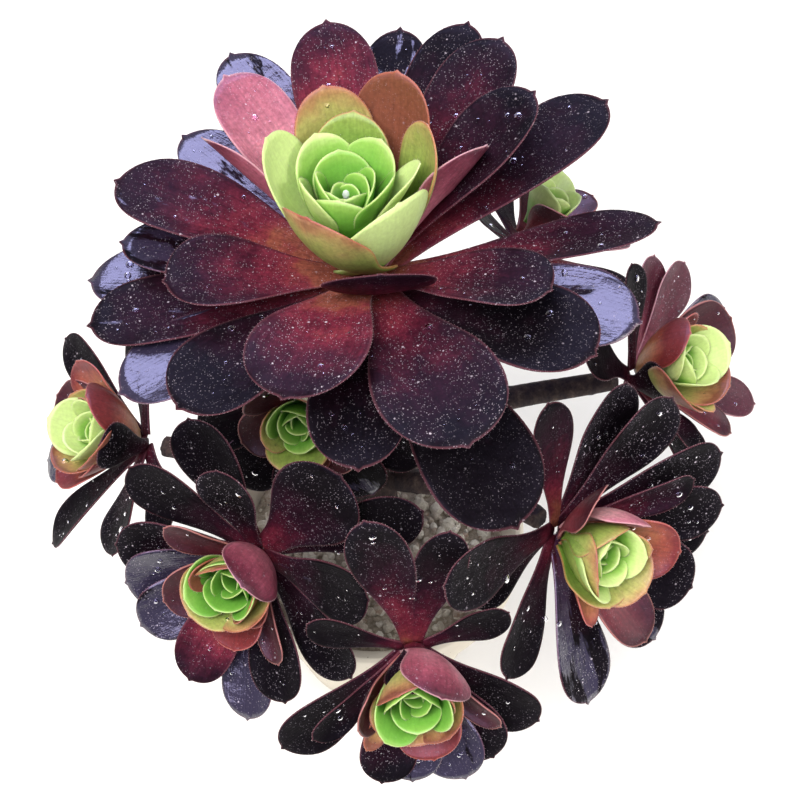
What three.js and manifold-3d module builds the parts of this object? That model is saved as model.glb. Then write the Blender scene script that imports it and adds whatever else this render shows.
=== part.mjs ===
// A dark aeonium with nine leafy heads on one branched stem, rooted in gritty mix in a plain pot.
// Millimetres, +Z up, origin at the middle of the pot's underside.
import * as THREE from "three";
import { mergeVertices } from "three/addons/utils/BufferGeometryUtils.js";
import Module from "manifold-3d";

const wasm = await Module();
wasm.setup();
const { Manifold } = wasm;

// The pot: a plain tapered one with a rolled rim.
const POT_HEIGHT = 138;
const POT_BASE_RADIUS = 52;
const POT_TOP_RADIUS = 74;
const POT_WALL = 5;
const POT_FLOOR = 7;
const RIM_RADIUS = 81;
const RIM_HEIGHT = 24;
const DRAIN_RADIUS = 5;
const DRAIN_CIRCLE = 27;
const DRAIN_COUNT = 3;
const ROUND_SIDES = 22;

// The mix in the pot, and the clearance left between pieces that touch.
const SOIL_TOP = 121;
const SOIL_MOUND = 4;
const GAP = 0.3;
const LEAF_GAP = 0.5;

// The stem: a trunk out of the mix, and a branch to each side head.
const TRUNK_FOOT = new THREE.Vector3(0, 2, 50);
const TRUNK_RADIUS = 12;
const TRUNK_TOP_RADIUS = 9;
const BRANCH_RADIUS = 7;
const BRANCH_TOP_RADIUS = 5.4;
const STEM_SIDES = 8;
const STEM_STEPS = 6;

// Where the trunk ends under the big head. The side heads are placed from here.
const CROWN = new THREE.Vector3(0, 20, 325);
const NECK = 8;

// How far a side heart stands up its head's stem, and how many leaves it has.
const HEART_HEIGHT = 12;
const HEART_LEAVES = 4;

// Leaves: thickness at the root and at the tip, how far the root is sunk, and the least width
// of the tip.
const LEAF_ROOT_THICK = 3.2;
const LEAF_TIP_THICK = 1.4;
const LEAF_SUNK = 3.5;
const LEAF_SUBSTEPS = 24;
const TIP_SHARE = 0.35;
// Fusing leaves at their roots leaves specks of faces, which are tidied away within this distance.
const SPECK = 0.22;
const CUT_SPECK = 0.02;
const GOLDEN_ANGLE = 137.508;

// Each leaf row: azimuth about the head's axis (0 to the right, 90 up and back), pitch above
// the head's plane, bend along the leaf, length, width, twist about its own length, and height
// of its root up the stem.
const MAIN_DARK = [
  [120, 24, -8, 128, 36, 0, 5],
  [98, 34, -6, 117, 40, 0, 6],
  [81, 26, -6, 121, 34, 0, 4],
  [63, 32, -6, 121, 34, 0, 5],
  [51, 35, -6, 116, 40, 0, 6],
  [29, 20, -4, 127, 40, 0, 5],
  [7, 2, 2, 126, 34, 14, 4],
  [332, 26, -16, 88, 42, 8, 6],
  [340, 9, -6, 118, 46, 0, 2],
  [325, 13, -8, 112, 48, 0, 0],
  [291, 17, -18, 113, 54, 0, 4],
  [269, 15, -18, 107, 42, 0, 0],
  [252, 34, -34, 96, 50, 0, 6],
  [227, 13, -8, 107, 46, 0, 2],
  [211, 8, -8, 117, 42, 0, 0],
  [194, 22, -10, 86, 44, 0, 6],
  [192, 6, -4, 120, 42, 0, 3],
  [178, 6, -4, 122, 40, 0, 0],
  [173, 14, -4, 108, 34, 0, 0],
  [163, 20, -4, 116, 44, 0, 5],
  [141, 20, -4, 109, 34, 0, 1],
  [299, -16, -6, 124, 52, 0, -2],
];
const MAIN_RED = [
  [133, 42, -8, 100, 36, 0, 11],
  [153, 40, -8, 86, 34, -55, 11],
  [14, 48, -4, 74, 34, 55, 11],
  [28, 38, -6, 100, 38, 0, 11],
  [284, 15, 62, 50, 48, 12, 10],
];
const MAIN_RING = [
  [107, 30, 62, 78, 38, 0, 16],
  [64, 30, 58, 83, 40, 0, 16],
  [163, 40, 46, 72, 38, 0, 16],
  [22, 32, 64, 72, 34, 0, 16],
];
// The two broad shells in front of the big heart.
const MAIN_SHELL = [
  [235, 36, 54, 61, 46, 0, 15],
  [309, 41, 48, 62, 46, 0, 15],
];
// The large heart stands on its own root, measured from the crown, and leans its own way.
const MAIN_HEART_FROM = [-10, 7, 15];
const MAIN_HEART_AXIS = [0.02, 0.12, 1];
const MAIN_HEART = [
  [84, 52, 26, 57, 38, 0, 4],
  [126, 52, 26, 48, 34, 0, 6],
  [48, 52, 26, 46, 34, 0, 7],
  [206, 54, 26, 44, 26, 0, 5],
  [350, 50, 20, 57, 24, 0, 5],
  [103, 56, 26, 36, 29, 0, 10],
  [336, 52, 26, 44, 28, 0, 9],
  [258, 46, 50, 36, 32, 0, 8],
  [10, 60, 26, 32, 24, 0, 12],
];

// The side heads: root from the crown, axis, dark, red and collar leaves, and the heart's own
// axis, its first azimuth and its leaf length.
const SIDE_HEADS = {
  left: {
    from: [-112, -18, -107],
    axis: [-0.8, -0.15, 0.58],
    dark: [
      [126, 22, -4, 79, 24, 0, 3],
      [75, 15, 0, 54, 28, 0, 3],
      [206, 10, -4, 85, 22, 0, 2],
      [262, 12, -4, 54, 30, 0, 3],
      [150, 22, -6, 68, 30, 0, 4],
      [178, 22, -6, 66, 30, 0, 4],
      [330, 44, 26, 40, 24, 0, 5],
      [300, 0, 0, 52, 28, 0, 1],
    ],
    red: [
      [136, 46, 0, 44, 32, 0, 9],
      [92, 42, 10, 45, 30, 0, 9],
      [282, 50, 10, 33, 28, 0, 9],
      [217, 44, 0, 40, 28, 0, 9],
      [176, 48, 0, 39, 30, 0, 9],
      [24, 32, 60, 44, 30, 0, 9],
    ],
    collar: [
      [62, 54, 40, 34, 26, 0, 2],
      [112, 52, 26, 34, 30, 0, 1],
      [232, 50, 22, 37, 32, 0, 1],
      [304, 52, 24, 36, 32, 0, 1],
    ],
    heart: { axis: [-0.74, -0.3, 0.9], start: 160, size: 37 },
  },
  under: {
    from: [-30, -8, -76],
    axis: [-0.2, -0.88, 0.36],
    dark: [
      [198, 22, -4, 52, 31, 0, 3],
      [232, 20, -4, 56, 33, 0, 3],
      [306, 14, -4, 54, 33, 0, 3],
      [342, 12, -4, 60, 33, 0, 2],
      [270, 30, -4, 50, 30, 0, 3],
    ],
    red: [
      [205, 42, 0, 33, 28, 0, 9],
      [281, 44, 10, 34, 30, 0, 9],
      [340, 42, 4, 40, 30, 0, 9],
      [130, 50, 4, 36, 30, 0, 9],
    ],
    collar: [
      [194, 56, 24, 30, 24, 0, 2],
      [60, 54, 24, 33, 28, 0, 1],
      [268, 50, 24, 34, 32, 0, 1],
    ],
    heart: { axis: [-0.1, -0.82, 0.5], start: 20, size: 30 },
  },
  front_left: {
    from: [-52, -81, -100],
    axis: [-0.365, -0.83, 0.42],
    dark: [
      [136, 20, -4, 70, 30, 0, 4],
      [96, 24, -4, 58, 28, 0, 4],
      [112, 8, -4, 72, 33, 0, 1],
      [52, 12, -8, 74, 44, 0, 3],
      [4, 20, -6, 62, 35, 0, 4],
      [322, 20, -6, 68, 30, 0, 3],
      [276, 28, 0, 76, 28, 0, 3],
      [296, 32, -4, 66, 30, 0, 4],
      [174, 26, -4, 62, 33, 0, 4],
      [192, 30, 0, 60, 33, 0, 3],
      [214, 34, 0, 62, 31, 0, 3],
      [28, 2, -4, 88, 28, 0, 1],
    ],
    red: [
      [249, 32, 0, 62, 30, 0, 9],
      [48, 28, 76, 46, 34, 0, 9],
      [318, 48, 20, 32, 22, 0, 9],
      [199, 44, 6, 42, 28, 0, 9],
      [279, 48, 10, 40, 28, 0, 9],
      [302, 32, 0, 46, 15, 0, 9],
      [145, 30, 0, 42, 18, 0, 9],
    ],
    collar: [
      [168, 56, 26, 33, 18, 0, 2],
      [108, 58, 44, 34, 30, 0, 2],
      [338, 56, 34, 34, 34, 0, 2],
      [220, 50, 24, 37, 36, 0, 0],
      [302, 50, 24, 35, 34, 0, 0],
    ],
    heart: { axis: [-0.3, -0.76, 0.66], start: 195, size: 36 },
  },
  front: {
    from: [19, -126, -106],
    axis: [0.05, -0.94, 0.3],
    dark: [
      [103, 8, -4, 90, 28, 0, 3],
      [80, 8, -4, 80, 24, 0, 3],
      [34, 8, -2, 46, 20, 0, 3],
      [150, 10, -4, 50, 18, 0, 3],
      [212, 22, -4, 72, 30, 0, 2],
      [205, 36, -4, 56, 18, 0, 4],
      [335, 24, -4, 62, 30, 0, 3],
      [311, 34, -4, 58, 33, 0, 4],
      [252, 38, 0, 60, 28, 0, 3],
      [268, 36, 0, 58, 28, 0, 4],
      [294, 36, -2, 62, 30, 0, 3],
      [88, 52, 60, 34, 30, 0, 6],
    ],
    red: [
      [187, 44, 30, 43, 28, 0, 9],
      [330, 30, 0, 46, 14, 0, 9],
      [62, 30, 74, 45, 36, 0, 9],
      [284, 46, 10, 43, 32, 0, 9],
    ],
    collar: [
      [122, 56, 32, 34, 32, 0, 2],
      [252, 50, 24, 35, 38, 0, 0],
      [314, 50, 26, 36, 32, 0, 0],
      [226, 42, 10, 40, 13, 0, 1],
      [18, 54, 30, 34, 18, 0, 2],
    ],
    heart: { axis: [0.03, -0.9, 0.42], start: 220, size: 37 },
  },
  front_right: {
    from: [84, -77, -84],
    axis: [0.62, -0.68, 0.4],
    dark: [
      [106, 10, -2, 76, 24, 0, 3],
      [72, 12, -2, 74, 31, 0, 3],
      [53, 18, -4, 76, 37, 0, 4],
      [20, 24, -4, 82, 33, 0, 3],
      [4, 32, -4, 76, 30, 0, 4],
      [24, 36, -8, 62, 20, 0, 5],
      [350, 28, -2, 74, 31, 0, 2],
      [328, 38, -2, 68, 35, 0, 4],
      [300, 34, -2, 70, 31, 0, 3],
      [265, 26, -2, 80, 33, 0, 3],
      [228, 18, -2, 68, 28, 0, 3],
      [172, 14, -4, 80, 34, 0, 3],
      [200, 2, -4, 50, 26, 0, 1],
    ],
    red: [
      [293, 36, 0, 61, 28, 0, 9],
      [108, 27, 26, 45, 26, -18, 10],
      [62, 30, 72, 44, 33, 0, 9],
      [352, 46, 6, 50, 32, 0, 9],
      [258, 42, 0, 40, 14, 0, 9],
    ],
    collar: [
      [186, 56, 36, 36, 34, 0, 2],
      [262, 50, 24, 36, 36, 0, 0],
      [312, 50, 22, 40, 34, 0, 0],
      [12, 56, 24, 36, 18, 0, 2],
      [104, 56, 32, 33, 30, 0, 2],
    ],
    heart: { axis: [0.56, -0.68, 0.48], start: 222, size: 36 },
  },
  right: {
    from: [127, 8, -86],
    axis: [0.72, -0.2, 0.6],
    dark: [
      [95, 20, -2, 56, 24, 0, 3],
      [75, 24, -4, 60, 24, 0, 4],
      [125, 24, -4, 54, 24, 0, 4],
      [40, 24, -4, 66, 30, 0, 4],
      [355, 24, 0, 71, 22, 0, 4],
      [312, 12, 0, 58, 30, 0, 3],
      [294, 30, 0, 42, 20, 0, 5],
      [222, 50, 26, 34, 26, 0, 4],
      [180, 10, 0, 52, 26, 0, 2],
      [240, 4, 0, 56, 30, 0, 2],
    ],
    red: [
      [112, 52, 20, 40, 24, 0, 9],
      [45, 42, 4, 50, 38, 0, 9],
      [325, 30, 0, 50, 18, 0, 9],
      [160, 34, 62, 46, 28, 0, 9],
    ],
    collar: [
      [332, 50, 24, 38, 36, 0, 0],
      [242, 46, 18, 42, 34, 0, 0],
      [70, 54, 26, 33, 20, 0, 2],
      [286, 46, 18, 38, 16, 0, 1],
    ],
    heart: { axis: [0.66, -0.24, 0.75], start: 30, size: 38 },
  },
  back_right: {
    from: [73, 62, -55],
    axis: [0.5, 0.45, 0.75],
    dark: [
      [120, 16, -4, 60, 28, 0, 3],
      [36, 20, -2, 66, 28, 0, 3],
      [75, 16, -4, 66, 30, 0, 4],
      [350, 12, -4, 60, 26, 0, 3],
      [232, 16, -4, 46, 26, 0, 3],
      [285, 14, -4, 60, 30, 0, 3],
      [168, 11, -4, 54, 28, 0, 3],
    ],
    red: [
      [47, 46, 0, 41, 22, 0, 9],
      [95, 46, 0, 40, 30, 0, 9],
      [8, 44, 0, 38, 30, 0, 9],
      [320, 44, 0, 44, 28, 0, 9],
      [275, 44, 0, 38, 28, 0, 9],
    ],
    collar: [],
    heart: { axis: [0.46, 0.3, 0.85], start: 87, size: 30 },
  },
  back_left: {
    from: [-72, 55, -74],
    axis: [-0.55, 0.42, 0.72],
    dark: [
      [100, 14, -4, 64, 30, 0, 3],
      [140, 18, -4, 66, 30, 0, 4],
      [180, 14, -4, 64, 28, 0, 3],
      [222, 10, -4, 50, 28, 0, 3],
      [262, 12, -4, 56, 28, 0, 4],
      [320, 8, -4, 50, 26, 0, 3],
      [40, 14, -4, 60, 28, 0, 3],
    ],
    red: [
      [80, 46, 0, 44, 30, 0, 9],
      [125, 48, 0, 46, 30, 0, 9],
      [170, 46, 0, 46, 30, 0, 9],
      [225, 46, 0, 42, 30, 0, 9],
      [285, 46, 0, 40, 28, 0, 9],
    ],
    collar: [],
    heart: { axis: [-0.5, 0.28, 0.82], start: 200, size: 29 },
  },
};

const COLOURS = {
  dark: 0x3a1a2c,
  red: 0x9a4a4c,
  heart: 0x8fc24a,
  stem: 0x6b5a4c,
  soil: 0xd8d0c2,
  pot: 0xe6dfd2,
};

const radians = THREE.MathUtils.degToRad;

// A head's own directions: x to the right as the picture sees it, z along its stem.
function headFrame(axis) {
  const z = new THREE.Vector3(...axis).normalize();
  const x = new THREE.Vector3(1, 0, 0).addScaledVector(z, -z.x).normalize();
  const y = new THREE.Vector3().crossVectors(z, x);
  return { x, y, z };
}

// Half width of a leaf as a share of its widest, at share s of its length.
function widthShare(s, shape) {
  if (s <= shape.widest) {
    const t = s / shape.widest;
    return shape.base + ((1 - shape.base) * (1 - Math.cos(Math.PI * t ** 1.25))) / 2;
  }
  const t = (s - shape.widest) / (1 - shape.widest);
  return Math.max(TIP_SHARE, Math.sqrt(Math.max(0, 1 - t ** shape.blunt)));
}

// Leaf shapes: the big head's spoons, the side heads' spoons, the cupped leaves inside them, the
// big heart's shells, the collar round a side heart, and the heart's.
// Each has its width at the root, the share of the length where it is widest, how blunt it
// ends, where it starts, and its sections.
const SPOON = { base: 0.2, widest: 0.76, blunt: 2.2, start: 6, sections: [0, 11, 18, 22, 24] };
const SHORT = { base: 0.2, widest: 0.76, blunt: 2.2, start: 6, sections: [0, 12, 19, 24] };
const CUPPED = { base: 0.3, widest: 0.66, blunt: 2.2, start: 5, sections: [0, 15, 21, 24] };
const SHELL = { base: 0.75, widest: 0.62, blunt: 2.2, start: 5, sections: [0, 8, 15, 20, 24] };
const COLLAR = { base: 0.3, widest: 0.66, blunt: 2.2, start: 5, sections: [0, 18, 24] };
const ROSE = { base: 0.35, widest: 0.62, blunt: 1.8, start: 3, sections: [0, 15, 24] };

// A closed geometry as a solid that can be joined to others and cut.
function solidOf(geometry) {
  const bare = geometry.clone();
  bare.deleteAttribute("normal");
  bare.deleteAttribute("uv");
  const merged = mergeVertices(bare, 1e-4);
  const vertProperties = new Float32Array(merged.attributes.position.array);
  const triVerts = new Uint32Array(merged.index.array);
  return new Manifold(new wasm.Mesh({ numProp: 3, vertProperties, triVerts }));
}

// Joins rings of equal count into a closed tube, with a fan over each end. Each side is split
// on one diagonal, and the side numbered crossed on the other, so that a thin plate is split
// alike on both its faces.
function loft(rings, crossed = -1) {
  const n = rings[0].length;
  const triangles = [];
  for (let i = 0; i + 1 < rings.length; i += 1) {
    for (let j = 0; j < n; j += 1) {
      const k = (j + 1) % n;
      const [a, b, c, d] = [i * n + j, i * n + k, (i + 1) * n + k, (i + 1) * n + j];
      if (j === crossed) {
        triangles.push([a, b, d], [b, c, d]);
      } else {
        triangles.push([a, b, c], [a, c, d]);
      }
    }
  }
  const last = (rings.length - 1) * n;
  for (let j = 1; j + 1 < n; j += 1) {
    triangles.push([0, j + 1, j], [last, last + j, last + j + 1]);
  }
  const geometry = new THREE.BufferGeometry().setFromPoints(rings.flat());
  geometry.setIndex(triangles.flat());
  return geometry;
}

// One leaf as a bent plate. Grow makes it fatter all round, for the room that it needs among
// its neighbours. A positive twist lifts the edge on its left, seen from the root.
function leafSolid(head, row, shape, grow = 0) {
  const [azimuth, pitch, bend, length, width, twist, height] = row;
  const { x, y, z } = head.frame;
  const out = new THREE.Vector3()
    .addScaledVector(x, Math.cos(radians(azimuth)))
    .addScaledVector(y, Math.sin(radians(azimuth)));
  const point = head.root.clone().addScaledVector(z, height).addScaledVector(out, shape.start);
  const rings = [];
  for (let i = 0; i <= LEAF_SUBSTEPS; i += 1) {
    const s = i / LEAF_SUBSTEPS;
    const lift = radians(pitch + bend * s);
    const along = out.clone().multiplyScalar(Math.cos(lift)).addScaledVector(z, Math.sin(lift));
    const face = out.clone().multiplyScalar(-Math.sin(lift)).addScaledVector(z, Math.cos(lift));
    if (shape.sections.includes(i)) {
      const turn = -radians(twist * Math.min(1, s * 1.6));
      const across = new THREE.Vector3().crossVectors(along, face).applyAxisAngle(along, turn);
      const up = face.clone().applyAxisAngle(along, turn);
      const half = (width / 2) * widthShare(s, shape) * (i === 0 ? 0.6 : 1) + grow;
      const thick = (LEAF_ROOT_THICK + (LEAF_TIP_THICK - LEAF_ROOT_THICK) * s) / 2 + grow;
      const middle = point.clone();
      if (i === 0) {
        middle.addScaledVector(along, -LEAF_SUNK - grow);
      } else if (i === LEAF_SUBSTEPS) {
        middle.addScaledVector(along, grow);
      }
      const corner = (u, v) =>
        middle.clone().addScaledVector(across, u * half).addScaledVector(up, v * thick);
      rings.push([corner(1, 1), corner(1, -1), corner(-1, -1), corner(-1, 1)]);
    }
    point.addScaledVector(along, length / LEAF_SUBSTEPS);
  }
  return solidOf(loft(rings, 1));
}

// A short length of the head's own stem, from one height to another along its axis.
function coreSolid(head, low, high, lowRadius, highRadius, grow = 0) {
  const { x, y, z } = head.frame;
  const middle = head.root.clone().addScaledVector(z, (low + high) / 2);
  const tall = high - low + 2 * grow;
  const core = new THREE.CylinderGeometry(highRadius + grow, lowRadius + grow, tall, 8);
  core.rotateX(Math.PI / 2);
  core.applyMatrix4(new THREE.Matrix4().makeBasis(x, y, z).setPosition(middle));
  return solidOf(core);
}

function tidied(solid, speck = SPECK) {
  return solid.asOriginal().simplify(speck);
}

// A cluster: one or more groups of leaves of one colour, each grown from its own core.
function cluster(groups, grow = 0) {
  const solids = groups.flatMap(({ head, rows, shape, core }) => [
    coreSolid(head, ...core, grow),
    ...rows.map((row) => leafSolid(head, row, shape, grow)),
  ]);
  return tidied(Manifold.union(solids));
}

// A side heart's leaves step round by the golden angle, each shorter, steeper and higher than
// the last.
function heartRows(count, start, size) {
  return Array.from({ length: count }, (_, k) => {
    const t = k / (count - 1);
    const azimuth = start + GOLDEN_ANGLE * k;
    const length = size * (1 - 0.7 * t);
    const width = size * 0.84 * (1 - 0.62 * t);
    return [azimuth, 54 + 26 * t, 22, length, width, 0, 3 + 8 * t];
  });
}

const clusters = [];

function addCluster(name, colour, groups) {
  clusters.push({
    name,
    colour,
    solid: cluster(groups),
    room: cluster(groups, LEAF_GAP),
  });
}

// The heart of a head, with its own root and lean.
function heartHead(from, axis) {
  const root = CROWN.clone().add(new THREE.Vector3(...from));
  return { root, frame: headFrame(axis) };
}

const mainHead = { root: CROWN, frame: headFrame([-0.09, 0.1, 1]) };
const mainHeart = heartHead(MAIN_HEART_FROM, MAIN_HEART_AXIS);
addCluster("main_dark_leaves", COLOURS.dark, [
  { head: mainHead, rows: MAIN_DARK, shape: SPOON, core: [-NECK, 9, 9, 9] },
]);
addCluster("main_red_leaves", COLOURS.red, [
  { head: mainHead, rows: MAIN_RED, shape: SPOON, core: [9 + GAP, 14, 8, 8] },
]);
addCluster("main_heart", COLOURS.heart, [
  { head: mainHead, rows: MAIN_RING, shape: CUPPED, core: [14 + GAP, 19, 8, 8] },
  { head: mainHead, rows: MAIN_SHELL, shape: SHELL, core: [15, 18, 7.5, 7.5] },
  { head: mainHeart, rows: MAIN_HEART, shape: ROSE, core: [1, 27, 7, 2.5] },
]);

for (const [name, plan] of Object.entries(SIDE_HEADS)) {
  const root = CROWN.clone().add(new THREE.Vector3(...plan.from));
  const head = { root, frame: headFrame(plan.axis) };
  plan.head = head;
  const heartRoot = root.clone().addScaledVector(head.frame.z, HEART_HEIGHT);
  const heart = { root: heartRoot, frame: headFrame(plan.heart.axis) };
  addCluster(name + "_dark_leaves", COLOURS.dark, [
    { head, rows: plan.dark, shape: SHORT, core: [-NECK, 7, 7, 7] },
  ]);
  addCluster(name + "_red_leaves", COLOURS.red, [
    { head, rows: plan.red, shape: CUPPED, core: [7 + GAP, 12, 6.5, 6.5] },
  ]);
  const hearts = heartRows(HEART_LEAVES, plan.heart.start, plan.heart.size);
  addCluster(name + "_heart", COLOURS.heart, [
    { head: heart, rows: plan.collar, shape: COLLAR, core: [GAP, 5, 5.5, 5.5] },
    { head: heart, rows: hearts, shape: ROSE, core: [3, 17, 5, 2.5] },
  ]);
}

// A round stem along a curve. A section of radius 1 is swept along it, and each ring is then
// widened about the curve, so that the stem thins from one radius to the other.
function stemSolid(curve, fromRadius, toRadius, grow = 0) {
  const corners = Array.from({ length: STEM_SIDES }, (_, j) => {
    const angle = (2 * Math.PI * j) / STEM_SIDES;
    return new THREE.Vector2(Math.cos(angle), Math.sin(angle));
  });
  const sweep = { steps: STEM_STEPS, extrudePath: curve };
  const stem = new THREE.ExtrudeGeometry(new THREE.Shape(corners), sweep);
  const stations = curve.getSpacedPoints(STEM_STEPS);
  const place = stem.attributes.position;
  const point = new THREE.Vector3();
  for (let i = 0; i < place.count; i += 1) {
    point.fromBufferAttribute(place, i);
    const distances = stations.map((station) => station.distanceTo(point));
    const k = distances.indexOf(Math.min(...distances));
    const radius = fromRadius + ((toRadius - fromRadius) * k) / STEM_STEPS + grow;
    point.sub(stations[k]).multiplyScalar(radius).add(stations[k]);
    place.setXYZ(i, point.x, point.y, point.z);
  }
  return solidOf(stem);
}

const crownNeck = CROWN.clone().addScaledVector(mainHead.frame.z, -NECK - GAP);
const trunkCurve = new THREE.CubicBezierCurve3(
  TRUNK_FOOT,
  new THREE.Vector3(0, 2, 150),
  new THREE.Vector3(5, 12, 240),
  crownNeck,
);

// Where each branch leaves the trunk, as a share of the trunk's length, and how far it runs
// straight at each end.
const BRANCHES = {
  left: [0.5, 60, 50],
  under: [0.66, 22, 16],
  front_left: [0.44, 40, 50],
  front: [0.36, 55, 55],
  front_right: [0.48, 50, 50],
  right: [0.58, 60, 45],
  back_right: [0.62, 45, 35],
  back_left: [0.56, 45, 35],
};

function branchCurve(name) {
  const [share, leave, arrive] = BRANCHES[name];
  const { root, frame } = SIDE_HEADS[name].head;
  const end = root.clone().addScaledVector(frame.z, -NECK - GAP);
  const begin = trunkCurve.getPointAt(share);
  const heading = end.clone().sub(begin).setZ(0).normalize().setZ(0.7).normalize();
  return new THREE.CubicBezierCurve3(
    begin,
    begin.clone().addScaledVector(heading, leave),
    end.clone().addScaledVector(frame.z, -arrive),
    end,
  );
}

function stemsSolid(grow = 0) {
  const branches = Object.keys(BRANCHES).map((name) =>
    stemSolid(branchCurve(name), BRANCH_RADIUS, BRANCH_TOP_RADIUS, grow),
  );
  const trunk = stemSolid(trunkCurve, TRUNK_RADIUS, TRUNK_TOP_RADIUS, grow);
  return tidied(Manifold.union([trunk, ...branches]));
}

const stems = stemsSolid();
const stemsRoom = stemsSolid(GAP);

// A round shape about the Z axis, from radius and height pairs that start and end on it.
function turned(profile) {
  const points = profile.map(([radius, height]) => new THREE.Vector2(radius, height));
  const round = new THREE.LatheGeometry(points, ROUND_SIDES);
  round.rotateX(Math.PI / 2);
  return solidOf(round);
}

function potSolid() {
  const rimFoot = POT_HEIGHT - RIM_HEIGHT;
  const inside = RIM_RADIUS - 6.5;
  const body = turned([
    [0, 0],
    [POT_BASE_RADIUS - 2, 0],
    [POT_BASE_RADIUS, 2],
    [POT_TOP_RADIUS, rimFoot - 1],
    [RIM_RADIUS - 1.5, rimFoot],
    [RIM_RADIUS, rimFoot + 2],
    [RIM_RADIUS, POT_HEIGHT - 2.5],
    [RIM_RADIUS - 2, POT_HEIGHT],
    [inside + 1.5, POT_HEIGHT],
    [inside, POT_HEIGHT - 2],
    [POT_TOP_RADIUS - POT_WALL, rimFoot],
    [POT_BASE_RADIUS - POT_WALL, POT_FLOOR],
    [0, POT_FLOOR],
  ]);
  const drains = Array.from({ length: DRAIN_COUNT }, (_, k) => {
    const angle = (2 * Math.PI * k) / DRAIN_COUNT + Math.PI / 2;
    const drain = new THREE.CylinderGeometry(DRAIN_RADIUS, DRAIN_RADIUS, POT_FLOOR + 2, 10);
    drain.rotateX(Math.PI / 2);
    drain.translate(
      DRAIN_CIRCLE * Math.cos(angle),
      DRAIN_CIRCLE * Math.sin(angle),
      POT_FLOOR / 2,
    );
    return solidOf(drain);
  });
  return body.subtract(Manifold.union(drains));
}

function soilSolid() {
  const rimFoot = POT_HEIGHT - RIM_HEIGHT;
  const upper = POT_TOP_RADIUS - POT_WALL - GAP;
  const wallRun = (RIM_RADIUS - 6.5 - (POT_TOP_RADIUS - POT_WALL)) / (RIM_HEIGHT - 2);
  const edge = upper + (SOIL_TOP - rimFoot) * wallRun;
  const mix = turned([
    [0, POT_FLOOR + GAP],
    [POT_BASE_RADIUS - POT_WALL - GAP, POT_FLOOR + GAP],
    [upper, rimFoot],
    [edge, SOIL_TOP - 1],
    [edge - 3, SOIL_TOP],
    [30, SOIL_TOP + SOIL_MOUND],
    [0, SOIL_TOP + SOIL_MOUND],
  ]);
  return mix.subtract(stemsRoom);
}

// Leaves give way to the stem and to the clusters made after them. A scrap that this cuts loose
// falls off.
function largestBody(solid) {
  const bodies = solid.decompose();
  return bodies.reduce((a, b) => (b.volume() > a.volume() ? b : a));
}

function makeRoom(list) {
  const soilBox = POT_HEIGHT + 1;
  list.forEach((item, i) => {
    let solid = item.solid.subtract(stemsRoom);
    for (const other of list.slice(i + 1)) {
      solid = solid.subtract(other.room);
    }
    item.solid = largestBody(tidied(solid, CUT_SPECK));
    if (item.solid.boundingBox().min[2] < soilBox) {
      throw new Error(item.name + " hangs into the pot");
    }
  });
}

makeRoom(clusters);

function meshFrom(name, solid, colour, roughness) {
  const { vertProperties, triVerts, numProp, numVert } = solid.getMesh();
  const positions = new Float32Array(numVert * 3);
  for (let i = 0; i < numVert; i += 1) {
    positions.set(vertProperties.subarray(i * numProp, i * numProp + 3), i * 3);
  }
  const geometry = new THREE.BufferGeometry();
  geometry.setAttribute("position", new THREE.BufferAttribute(positions, 3));
  geometry.setIndex(new THREE.BufferAttribute(triVerts, 1));
  geometry.computeVertexNormals();
  const material = new THREE.MeshStandardMaterial({ color: colour, roughness, metalness: 0 });
  const mesh = new THREE.Mesh(geometry, material);
  mesh.name = name;
  return mesh;
}

const plant = new THREE.Group();
plant.name = "potted_aeonium";
plant.add(meshFrom("pot", potSolid(), COLOURS.pot, 0.8));
plant.add(meshFrom("potting_mix", largestBody(soilSolid()), COLOURS.soil, 0.95));
plant.add(meshFrom("stems", stems, COLOURS.stem, 0.85));
for (const { name, solid, colour } of clusters) {
  plant.add(meshFrom(name, solid, colour, 0.4));
}

export default plant;
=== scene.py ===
"""A dark branching aeonium in a plain stoneware pot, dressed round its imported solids.

Metres, +Z up, in the solids' own frame. Tables of leaves are in millimetres and degrees.
"""
import functools
import math
import random

import bmesh
import bpy
import numpy as np
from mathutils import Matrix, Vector


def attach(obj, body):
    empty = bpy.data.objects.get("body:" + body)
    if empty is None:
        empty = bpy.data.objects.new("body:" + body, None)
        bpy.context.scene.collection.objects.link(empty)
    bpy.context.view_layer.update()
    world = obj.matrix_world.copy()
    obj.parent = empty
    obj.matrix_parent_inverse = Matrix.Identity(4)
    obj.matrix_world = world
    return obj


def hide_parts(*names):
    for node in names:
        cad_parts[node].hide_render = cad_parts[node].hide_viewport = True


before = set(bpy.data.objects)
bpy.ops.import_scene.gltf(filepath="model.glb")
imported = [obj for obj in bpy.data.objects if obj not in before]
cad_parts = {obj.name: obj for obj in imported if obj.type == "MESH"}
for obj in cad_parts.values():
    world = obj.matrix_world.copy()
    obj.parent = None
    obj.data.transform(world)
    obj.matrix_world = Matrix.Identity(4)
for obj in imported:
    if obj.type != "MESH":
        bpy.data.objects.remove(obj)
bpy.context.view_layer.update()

MM = 0.001
SEED = 27
GOLDEN_ANGLE = 137.508
STATIONS = np.linspace(0.0, 1.0, 49)

# The stem's crown under the big head. Every head is placed from it, as in the solids.
CROWN = np.array([0.0, 20.0, 325.0])
NECK = 8.3
MAIN_AXIS = [-0.09, 0.1, 1.0]
MAIN_HEART_FROM = [-10, 7, 15]
MAIN_HEART_AXIS = [0.02, 0.12, 1]
HEART_HEIGHT = 12
HEART_LEAVES = 10
DROP_LEAF = 20
# The leaves end a little short of the solids' leaves, to leave room for points and hairs.
LEAF_SHARE = 0.955

# Leaf scars stand this far apart up a stem.
SCAR_STEP = 4.6
# The mix's top is a shallow dish. Its stones are in this ring, clear of the pot and the trunk.
MIX_TOP, MIX_REACH, MIX_DISH = 123.9, 70.0, 3.6
STONES = 980
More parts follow.
